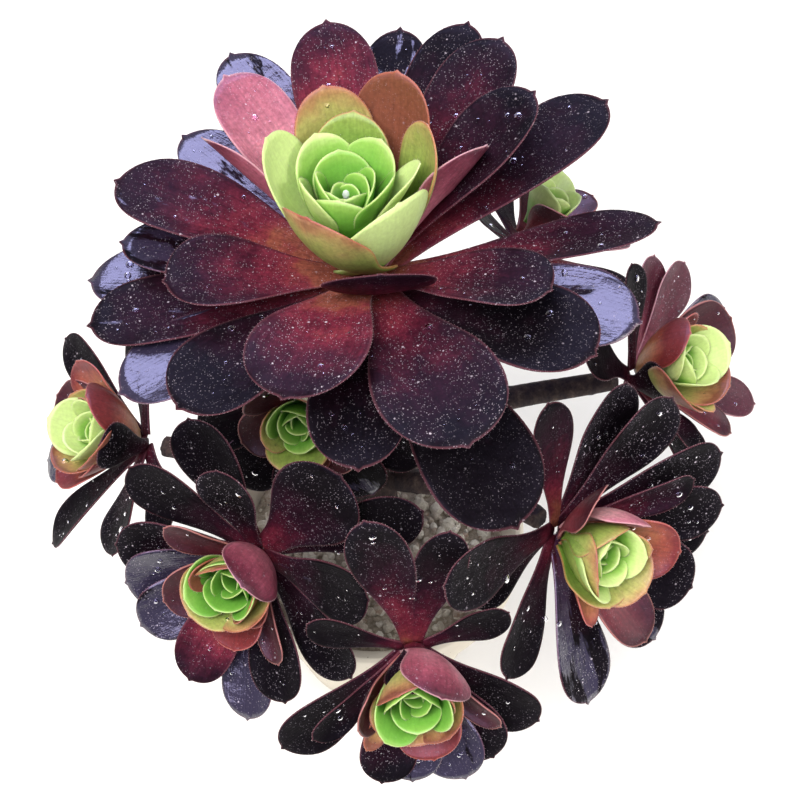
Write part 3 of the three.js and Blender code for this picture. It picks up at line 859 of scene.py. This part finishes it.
def heart_rows(start, size, tone):
    """A side heart's leaves step round by the golden angle, each shorter, steeper and higher."""
    rows = []
    fall = 1.6 if tone > 0 else 0.3
    for k in range(HEART_LEAVES):
        t = k / (HEART_LEAVES - 1)
        rows.append([
            start + GOLDEN_ANGLE * k, 54 + 26 * t, 22, size * (1 - 0.7 * t),
            size * 0.84 * (1 - 0.62 * t), 3 + 8 * t, {"tone": tone * (1 - fall * t), "wet": 0.3},
        ])
    return rows


def margin_spots(kind):
    """Points on a blank's margin, up one side, over the tip and down the other."""
    base, widest, _, _, _, square, _, point = BLANKS[kind]
    half = [(swell(base, t), widest * t) for t in np.linspace(0.12, 1, 24)]
    for turn in np.linspace(0, math.pi / 2, 25)[1:-1]:
        x = math.cos(turn) ** (2 / square)
        y = widest + (1 - widest) * math.sin(turn) ** (2 / square)
        half.append((x, y + point * max(0.0, 1 - x / 0.5 ** (1 / square))))
    half.append((0.0, 1.012 + point))
    right = [(x, y, 0.0) for x, y in half]
    left = [(-x, y, 0.0) for x, y in reversed(half[:-1])]
    return np.array(right + left)


def fringe_object(name, blank, hairs, leaf, material, chance):
    """Thin hairs along a leaf's margin, leaning towards its tip."""
    margin = margin_spots(leaf.kind)
    edge, top = leaf.place(margin)
    run = distances(edge)
    spots = blank_points(blank)
    number = np.round(spots[:, 0] / 3).astype(int)
    goals = (np.arange(hairs) + draws(chance, 0.2, 0.8, hairs)) / hairs * run[-1]
    foot = along(edge, run, goals)
    normal = along(top, run, goals)
    line = along(edge, run, goals + 0.5) - along(edge, run, goals - 0.5)
    line /= np.linalg.norm(line, axis=1)[:, None] + 1e-9
    out = np.cross(line, normal)
    # Away from the leaf's middle line beside the hair.
    middle = leaf.at(np.clip(margin[:, 1], 0, 0.9))[0]
    out *= np.sign(np.sum(out * (foot - along(middle, run, goals)), axis=1))[:, None]
    lean = np.where(goals < run[-1] / 2, 0.45, -0.45)[:, None]
    heading = out + lean * line + draws(chance, -0.25, 0.25, hairs)[:, None] * normal
    heading /= np.linalg.norm(heading, axis=1)[:, None]
    tall = draws(chance, 0.55, 1.1, hairs)
    spread = 0.085
    points = (
        foot[number]
        + (spots[:, 2] * tall[number] - 0.1)[:, None] * heading[number]
        + ((spots[:, 0] - 3 * number) * spread)[:, None] * line[number]
        + (spots[:, 1] * spread)[:, None] * normal[number]
    )
    return copy_of(name, blank, points, material)


def bezier(a, b, c, d, t):
    t = np.asarray(t, float)[:, None]
    return (1 - t) ** 3 * a + 3 * (1 - t) ** 2 * t * b + 3 * (1 - t) * t**2 * c + t**3 * d


def even_points(a, b, c, d, count):
    """Points spaced evenly along a curve."""
    fine = bezier(a, b, c, d, np.linspace(0, 1, 201))
    run = distances(fine)
    return along(fine, run, np.linspace(0, run[-1], count))


def stem_lines():
    """The trunk's and the branches' middle lines with their radii, in millimetres."""
    up = head_frame(MAIN_AXIS)[2]
    neck = CROWN - NECK * up
    trunk_ends = [np.array(p, float) for p in ([0, 2, 50], [0, 2, 150], [5, 12, 240])]
    trunk = even_points(*trunk_ends, neck, 101)
    lines = [(trunk, 12.0, 9.0)]
    for name, (share, leave, arrive) in BRANCHES.items():
        plan = SIDE_HEADS[name]
        z = head_frame(plan["axis"])[2]
        end = CROWN + plan["root"] - NECK * z
        begin = along(trunk, np.linspace(0, 1, 101), [share])[0]
        heading = unit(unit((end - begin) * [1, 1, 0]) + [0, 0, 0.7])
        line = even_points(begin, begin + leave * heading, end - arrive * z, end, 61)
        lines.append((line, 7.0, 5.4))
    return lines


def head_plans():
    """For every packed leaf node: its slot, and its groups of rows with their root, axis,
    blank, skin, distance from the axis, cup and thickness."""
    plans = {
        "main_dark_leaves": ("dark_leaf", [
            (MAIN_DARK, CROWN, MAIN_AXIS, "spoon", "dark", 6, 24, 3.0)]),
        "main_red_leaves": ("red_leaf", [
            (MAIN_RED, CROWN, MAIN_AXIS, "spoon", "pink", 6, 34, 2.8)]),
        "main_heart": ("green_leaf", [
            (MAIN_RING, CROWN, MAIN_AXIS, "cupped", "collar", 5, 46, 2.6),
            (MAIN_SHELL, CROWN, MAIN_AXIS, "shell", "collar", 5, 44, 2.6),
            (MAIN_HEART, CROWN + MAIN_HEART_FROM, MAIN_HEART_AXIS, "rose", "heart", 3, 52, 2.3)]),
    }
    for head, plan in SIDE_HEADS.items():
        root = CROWN + plan["root"]
        axis = plan["axis"]
        heart_axis, *young = plan["heart"]
        heart_root = root + HEART_HEIGHT * head_frame(axis)[2]
        plans[head + "_dark_leaves"] = ("dark_leaf", [
            (plan["dark"], root, axis, "spoon", "dark", 6, 26, 2.8)])
        plans[head + "_red_leaves"] = ("red_leaf", [
            (plan["red"], root, axis, "cupped", "red", 5, 38, 2.6)])
        plans[head + "_heart"] = ("green_leaf", [
            (plan["collar"], heart_root, heart_axis, "cupped", "collar", 5, 44, 2.4),
            (heart_rows(*young), heart_root, heart_axis, "rose", "heart", 3, 46, 2.0)])
    return plans


def build_leaves(skin):
    """Every head's leaves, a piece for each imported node. Gives back the leaves by node."""
    blanks = {kind: leaf_blank(kind) for kind in BLANKS}
    spots = {kind: blank_points(blank) for kind, blank in blanks.items()}
    chance = random.Random(SEED)
    leaves = {}
    for node, (slot, groups) in head_plans().items():
        made = []
        leaves[node] = []
        for rows, root, axis, kind, look, start, cup, thick in groups:
            for row in rows:
                tone = 0.3 if look == "dark" and node != "main_dark_leaves" else 0.0
                leaf = Leaf(root, axis, row, kind, start, cup, thick, tone, chance)
                leaf.skin = leaf.skin or look
                label = node + "_" + str(len(made))
                made.append(leaf_object(label, blanks[kind], spots[kind], leaf, skin[leaf.skin]))
                leaves[node].append(leaf)
        piece = joined(node + "_fine", made)
        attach(piece, "root")
        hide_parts(node)
    discard(*blanks.values())
    return leaves


def plain_skin(name, stops, grain_mm, spread, bump, roughness, shine=0.3, drawn=(1, 1, 1)):
    """A matt mineral or bark surface: a run of colours picked by noise of this grain, drawn out
    along an axis, with finer grain and bumps on it."""
    material, add = new_material(name)
    place = add(PLACE, output="Object")
    place = add(MAPPING, {"Vector": place, "Scale": drawn})
    scale = 1 / (grain_mm * MM)
    tone = add(VALUE, output="Fac", attribute_name="tone")
    patch = add(NOISE, {"Vector": place, "Scale": scale, "Detail": 5, "Roughness": 0.62})
    run = add(RANGE, [patch, 0.5 - spread, 0.5 + spread])
    run = add(MATH, [run, tone], operation="ADD", use_clamp=True)
    colour = add(RAMP, [run], stops=stops)
    fine = add(NOISE, {"Vector": place, "Scale": scale * 6, "Detail": 3})
    shade = add(RANGE, [fine, 0.3, 0.7, 0.8, 1.15])
    colour = shaded(add, colour, shade)
    height = add(TIMES_PLUS, [fine, 0.5, patch])
    bump = add(BUMP, {"Strength": bump, "Distance": 0.001, "Height": height})
    shader = add(SHADER, {
        "Base Color": colour, "Roughness": roughness, "Specular IOR Level": shine, "Normal": bump,
    })
    add(MATERIAL_OUTPUT, [shader])
    return material


def pot_skin():
    """Unglazed stoneware: pale body, throwing rings 5 mm apart and sparse iron flecks."""
    material, add = new_material("matte_pale_stoneware")
    place = add(PLACE, output="Object")
    axes = add("ShaderNodeSeparateXYZ", [place])
    cloud = add(NOISE, {"Vector": place, "Scale": 30, "Detail": 4})
    body = add(RAMP, [cloud], stops=".3 #d4cbba .55 #d9d1c0 .75 #ded7c7")
    flecks = lime_specks(add, place, 4.5, 0.5, 0.5)
    colour = add(MIX, {0: flecks, 6: body, 7: linear("#6e5138")}, **COLOUR)
    grain = add(NOISE, {"Vector": place, "Scale": 900, "Detail": 2})
    wander = add(TIMES_PLUS, [cloud, 0.004, axes.node.outputs[2]])
    rings = add(TIMES, [wander, 2 * math.pi / 0.005])
    rings = add(MATH, [rings], operation="SINE")
    height = add(TIMES_PLUS, [rings, 0.35, grain])
    bump = add(BUMP, {"Strength": 0.25, "Distance": 0.0006, "Height": height})
    shader = add(SHADER, {
        "Base Color": colour, "Roughness": 0.82, "Specular IOR Level": 0.3, "Normal": bump,
    })
    add(MATERIAL_OUTPUT, [shader])
    return material


def water_skin(name, clear):
    """Rain water, which bends the light and throws a sharp glint. Less clear water is whiter, a
    glint painted into its colour.
    """
    material, add = new_material(name)
    place = add(PLACE, output="Object")
    tint = add(NOISE, {"Vector": place, "Scale": 40})
    colour = add(RAMP, [tint], stops=".3 #f2f5fa .7 #ffffff")
    shader = add(SHADER, {
        "Base Color": colour, "Roughness": 0.02, "IOR": 1.33, "Transmission Weight": clear,
    })
    add(MATERIAL_OUTPUT, [shader])
    return material


def build_stems():
    """The trunk and its branches, with a scar where each fallen leaf stood."""
    deselect_everything()
    bpy.ops.mesh.primitive_uv_sphere_add(segments=10, ring_count=6, radius=1)
    scar = named("scar_blank")
    scar_spots = blank_points(scar)
    chance = random.Random(SEED + 1)
    parts = []
    for number, (line, low, high) in enumerate(stem_lines()):
        data = bpy.data.curves.new("stem_" + str(number), "CURVE")
        data.dimensions = "3D"
        data.bevel_depth = MM
        data.bevel_resolution = 4
        data.use_fill_caps = True
        spline = data.splines.new("POLY")
        spline.points.add(len(line) - 1)
        radii = np.linspace(low, high, len(line))
        for point, (x, y, z), radius in zip(spline.points, line * MM, radii):
            point.co = (x, y, z, 1)
            point.radius = radius
        take(placed("stem_" + str(number), data))
        bpy.ops.object.convert(target="MESH")
        parts.append(bpy.context.object)
        length = np.linalg.norm(np.diff(line, axis=0), axis=1).sum()
        for k in range(int(length / SCAR_STEP)):
            place = 4.0 + SCAR_STEP * k
            share = place / length * (len(line) - 1)
            index = min(int(share), len(line) - 2)
            middle = line[index] + (share - index) * (line[index + 1] - line[index])
            if number and np.linalg.norm(middle - line[0]) < 10 or share > len(line) - 3:
                continue
            forward = unit(line[index + 1] - line[index])
            right = unit(np.cross(forward, [0.13, 0.2, 0.97]))
            angle = math.radians(GOLDEN_ANGLE * k + 40 * number)
            out = math.cos(angle) * right + math.sin(angle) * np.cross(right, forward)
            wide = np.cross(out, forward)
            reach = radii[index] - 0.25
            size = chance.uniform(0.8, 1.15) * (2.6 if number == 0 else 1.9)
            points = middle + reach * out + (
                scar_spots[:, :1] * size * wide
                + scar_spots[:, 1:2] * size * 0.62 * forward
                + scar_spots[:, 2:] * 0.8 * out
            )
            parts.append(copy_of("scar", scar, points, None))
    discard(scar)
    stems = joined("barked_stems", parts)
    finished(stems, "REMESH", mode="VOXEL", voxel_size=1.15 * MM, use_smooth_shade=True)
    finished(stems, "SMOOTH", factor=0.5, iterations=3)
    stems.data.materials.clear()
    # Half-woody bark, dark and greyed by weather, streaked along the stem.
    stems.data.materials.append(plain_skin(
        "weathered_grey_brown_bark",
        "0 #171218 .35 #2e2426 .65 #483a35 .9 #6a5a4f 1 #83766a",
        5.0, 0.3, 0.7, 0.8, drawn=(1.0, 1.0, 0.45),
    ))
    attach(stems, "root")
    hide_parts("stems")


def extruded_round(name, start, profile, sides=96):
    """A turned solid: a disc extruded ring by ring to each radius and height in millimetres."""
    deselect_everything()
    radius, height = start
    bpy.ops.mesh.primitive_circle_add(
        vertices=sides, radius=radius * MM, fill_type="NGON", location=(0, 0, height * MM)
    )
    bpy.ops.object.transform_apply(location=True)
    piece = named(name)
    mode("EDIT")
    bpy.ops.mesh.select_all(action="SELECT")
    for next_radius, next_height in profile:
        bpy.ops.mesh.extrude_region_move(
            TRANSFORM_OT_translate={"value": (0, 0, (next_height - height) * MM)}
        )
        share = next_radius / radius
        bpy.ops.transform.resize(value=(share, share, 1), center_override=(0, 0, next_height * MM))
        radius, height = next_radius, next_height
    bpy.ops.mesh.select_all(action="SELECT")
    bpy.ops.mesh.normals_make_consistent(inside=False)
    mode("OBJECT")
    return piece


def build_pot():
    pot = extruded_round("stoneware_pot", (50.5, 0), [
        (52, 2), (74, 113), (79.5, 114), (81, 116.5), (81, 135.5), (79.2, 138), (76.2, 138),
        (74.5, 136), (69, 114), (47, 7),
    ])
    deselect_everything()
    drills = []
    for k in range(3):
        angle = 2 * math.pi * k / 3 + math.pi / 2
        spot = (0.027 * math.cos(angle), 0.027 * math.sin(angle), 0.0035)
        bpy.ops.mesh.primitive_cylinder_add(vertices=32, radius=0.005, depth=0.02, location=spot)
        drills.append(bpy.context.object)
    take(drills[0], *drills[1:])
    bpy.ops.object.join()
    drill = named("drain_drill")
    finished(pot, "BOOLEAN", operation="DIFFERENCE", object=drill, solver="EXACT")
    discard(drill)
    finished(
        pot, "BEVEL", width=0.7 * MM, segments=3, limit_method="ANGLE",
        angle_limit=math.radians(24), harden_normals=False,
    )
    take(pot)
    bpy.ops.object.shade_smooth_by_angle(angle=math.radians(50))
    pot.data.materials.append(pot_skin())
    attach(pot, "root")
    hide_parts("pot")


def build_mix():
    """The bed of mix, dished and lumpy on top, under a layer of loose grit."""
    bed = extruded_round("gritty_mix", (46.6, 7.4), [
        (68.5, 114), (70.2, 119.4), (64, 120.6), (56, 121.4), (48, 122), (40, 122.6),
        (32, 123.2), (24, 123.6), (16, 123.8), (8, MIX_TOP),
    ])
    top = bed.vertex_groups.new(name="top")
    high = [v.index for v in bed.data.vertices if v.co.z > 0.1197]
    top.add(high, 1.0, "REPLACE")
    finished(bed, "SUBSURF", levels=2, render_levels=2, subdivision_type="SIMPLE")
    lumps = bpy.data.textures.new("lumps", "CLOUDS")
    lumps.noise_scale = 0.008
    finished(
        bed, "DISPLACE", texture=lumps, texture_coords="LOCAL", strength=0.0035, mid_level=0.6,
        vertex_group="top", direction="Z",
    )
    # Pale grit dust between the stones.
    bed.data.materials.append(plain_skin(
        "pale_grit_and_dust",
        "0 #7d7263 .4 #9d9282 .75 #bbb09f 1 #d0c7b8",
        2.2, 0.28, 0.9, 0.92,
    ))

    # Pumice, lava and grit in pale, grey and rusty grains.
    grit_skin = plain_skin(
        "pumice_and_lava_grit",
        "0 #a08674 .2 #b9ad9e .5 #d0c8b9 .75 #e3ddd0 1 #f1ede4",
        1.6, 0.5, 0.8, 0.9,
    )
    blanks = []
    for kind in range(5):
        deselect_everything()
        bpy.ops.mesh.primitive_ico_sphere_add(subdivisions=2, radius=1)
        blank = named("grit_blank_" + str(kind))
        mode("EDIT")
        bpy.ops.mesh.select_all(action="SELECT")
        bpy.ops.transform.vertex_random(offset=0.3, seed=kind)
        mode("OBJECT")
        blanks.append((blank, blank_points(blank)))
    chance = random.Random(SEED + 2)
    stones = []
    while len(stones) < STONES:
        reach = MIX_REACH * math.sqrt(chance.random())
        angle = chance.uniform(0, 2 * math.pi)
        x, y = reach * math.cos(angle), reach * math.sin(angle)
        size = chance.uniform(1.0, 2.9) * (0.7 + 0.6 * chance.random())
        if reach > 68.5 - size or math.hypot(x, y - 2) < 12.5 + size:
            continue
        ground = MIX_TOP - MIX_DISH * (reach / MIX_REACH) ** 2
        blank, spots = blanks[chance.randrange(len(blanks))]
        turn = np.array([[chance.gauss(0, 1) for _ in range(3)] for _ in range(3)])
        turn, _ = np.linalg.qr(turn)
        shape = draws(chance, 0.7, 1.2, 3) * size
        points = np.array([x, y, ground + 0.25 * size]) + (spots * shape) @ turn
        stones.append(copy_of("stone", blank, points, grit_skin))
        valued(stones[-1], "tone", chance.uniform(-0.4, 0.4))
    discard(*(blank for blank, _ in blanks))
    take(bed, *stones)
    bpy.ops.object.join()
    bed = named("gritty_mix_with_stones")
    take(bed)
    bpy.ops.mesh.customdata_custom_splitnormals_clear()
    bpy.ops.object.shade_smooth_by_angle(angle=math.radians(35))
    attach(bed, "root")
    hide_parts("potting_mix")


def add_hairs(leaves):
    """Pale hairs along every leaf's margin, one piece to a head."""
    # Stiff whitish hairs that edge the leaves of this kind of plant.
    skin = plain_skin("whitish_margin_hair", "0 #a8838c .5 #cdb5b8 1 #e6dcd6", 6.0, 0.4, 0.0, 0.6)
    blanks = {count: fringe_blank(count) for count in (HAIRS_LONG, HAIRS_SHORT)}
    chance = random.Random(SEED + 3)
    heads = {}
    for node, rows in leaves.items():
        head = node.rsplit("_", 2)[0] if node.endswith("_leaves") else node.rsplit("_", 1)[0]
        heads.setdefault(head, []).extend(rows)
    for head, rows in heads.items():
        made = []
        for leaf in rows:
            count = HAIRS_LONG if leaf.length > LONG_LEAF else HAIRS_SHORT
            made.append(fringe_object("fringe", blanks[count], count, leaf, skin, chance))
        piece = joined(head + "_margin_hairs", made)
        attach(piece, "root")
    discard(*blanks.values())


def add_drops(leaves):
    """Rain drops on the upper faces of the leaves, most of them small."""
    deselect_everything()
    bpy.ops.mesh.primitive_uv_sphere_add(segments=8, ring_count=6, radius=1)
    blank = named("drop_blank")
    dome = blank_points(blank)
    water = water_skin("rain_water", 1.0)
    painted_glint_water = water_skin("rain_water_whitened_as_painted_glint", 0.35)
    chance = random.Random(SEED + 4)
    drops = []
    for node, rows in leaves.items():
        for number, leaf in enumerate(rows):
            # One large drop rests among the big heart's young leaves; its whitened water is a
            # painted glint.
            held = node == "main_heart" and number == DROP_LEAF
            if not held and (leaf.skin == "heart" or node.startswith("back_left")):
                continue
            count = 1 if held else int(leaf.length / 12 * chance.uniform(0.4, 1.6))
            for _ in range(count):
                side, share = chance.uniform(-0.8, 0.8), chance.uniform(0.4, 0.93)
                side *= 1 if share < 0.8 else 0.6
                if held:
                    side, share = -0.4, 0.6
                spots = np.array([[side, share, 0.47], [side, share + 0.01, 0.47]])
                points, top = leaf.place(spots)
                up = top[0]
                line = unit(points[1] - points[0])
                cross = np.cross(up, line)
                size = 0.45 + 1.5 * chance.random() ** 4
                size = 2.0 if held else size
                wide, deep = size * chance.uniform(0.85, 1.2), size * chance.uniform(0.85, 1.2)
                shape = points[0] + (
                    dome[:, :1] * wide * cross + dome[:, 1:2] * deep * line
                    + dome[:, 2:] * 0.55 * size * up
                )
                drops.append(copy_of("drop", blank, shape, painted_glint_water if held else water))
    discard(blank)
    piece = joined("rain_drops", drops)
    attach(piece, "root")


def stage_and_light():
    """A plain pale floor, soft light from above, and the camera at the photograph's angle."""
    deselect_everything()
    bpy.ops.mesh.primitive_plane_add(size=8, location=(0, 0, 0))
    floor = named("floor")
    material, add = new_material("pale_floor")
    matt = add(SHADER, {
        "Base Color": linear("#fdfcfb"), "Roughness": 0.95, "Specular IOR Level": 0,
    })
    # Far from the pot, past the reach of the lights, the floor brightens to the wall's white.
    far = add(PLACE, output="Object")
    far = add(VECTOR, [far], output="Value", operation="LENGTH")
    far = add(RANGE, [far, 0.5, 1.6])
    seen = add("ShaderNodeLightPath", output="Is Camera Ray")
    far = add(TIMES, [far, seen])
    wall = add("ShaderNodeEmission", [(0.98, 0.98, 0.98, 1), 1.0])
    both = add(BLEND, [far, matt, wall])
    add(MATERIAL_OUTPUT, [both])
    floor.data.materials.append(material)

    world = bpy.data.worlds.new("soft_room")
    add = emptied(world)
    seen = add("ShaderNodeLightPath", output="Is Camera Ray")
    scattered = seen.node.outputs["Is Diffuse Ray"]
    dim = add(LIGHT, [(0.7, 0.66, 1.0, 1), 0.42])
    room = add(LIGHT, [(0.98, 0.98, 1.0, 1), 0.6])
    wall = add(LIGHT, [(0.98, 0.98, 0.98, 1), 1.0])
    both = add(BLEND, [scattered, dim, room])
    both = add(BLEND, [seen, both, wall])
    add("ShaderNodeOutputWorld", [both])
    bpy.context.scene.world = world

    # Two softboxes, and two panels of cool sky that show only as reflections in the water.
    for name, place, size, power, colour, hidden_from in (
        ("top_softbox", (-0.5, -0.6, 1.9), (1.1, 1.1), 48, (1, 0.98, 0.95), "visible_glossy"),
        ("side_softbox", (1.5, -0.3, 1.3), (0.9, 0.9), 16, (1, 0.98, 0.96), ""),
        ("sky_behind", (-0.1, 1.1, 1.6), (1.8, 1.2), 60, (0.55, 0.56, 1), "visible_diffuse"),
        ("sky_in_front", (-0.2, -0.9, 1.7), (1.8, 1.2), 46, (0.7, 0.64, 1), "visible_diffuse"),
    ):
        data = bpy.data.lights.new(name, "AREA")
        data.shape = "RECTANGLE"
        data.size, data.size_y = size
        data.energy = power
        data.color = colour
        light = placed(name, data)
        light.location = place
        aim = Vector((0, 0, 0.25)) - light.location
        light.rotation_euler = aim.to_track_quat("-Z", "Y").to_euler()
        if hidden_from:
            setattr(light, hidden_from, False)

    camera_data = bpy.data.cameras.new("camera")
    camera_data.sensor_width = 36
    camera_data.lens = 63
    camera_data.clip_start = 0.01
    camera = placed("camera", camera_data)
    camera.location = (0.0133, -0.3611, 0.8168)
    camera.rotation_euler = (math.radians(33), 0, 0)
    bpy.context.scene.camera = camera
    bpy.context.scene.view_settings.view_transform = "Standard"


leaves = build_leaves(skins())
build_stems()
build_pot()
build_mix()
add_hairs(leaves)
add_drops(leaves)
stage_and_light()
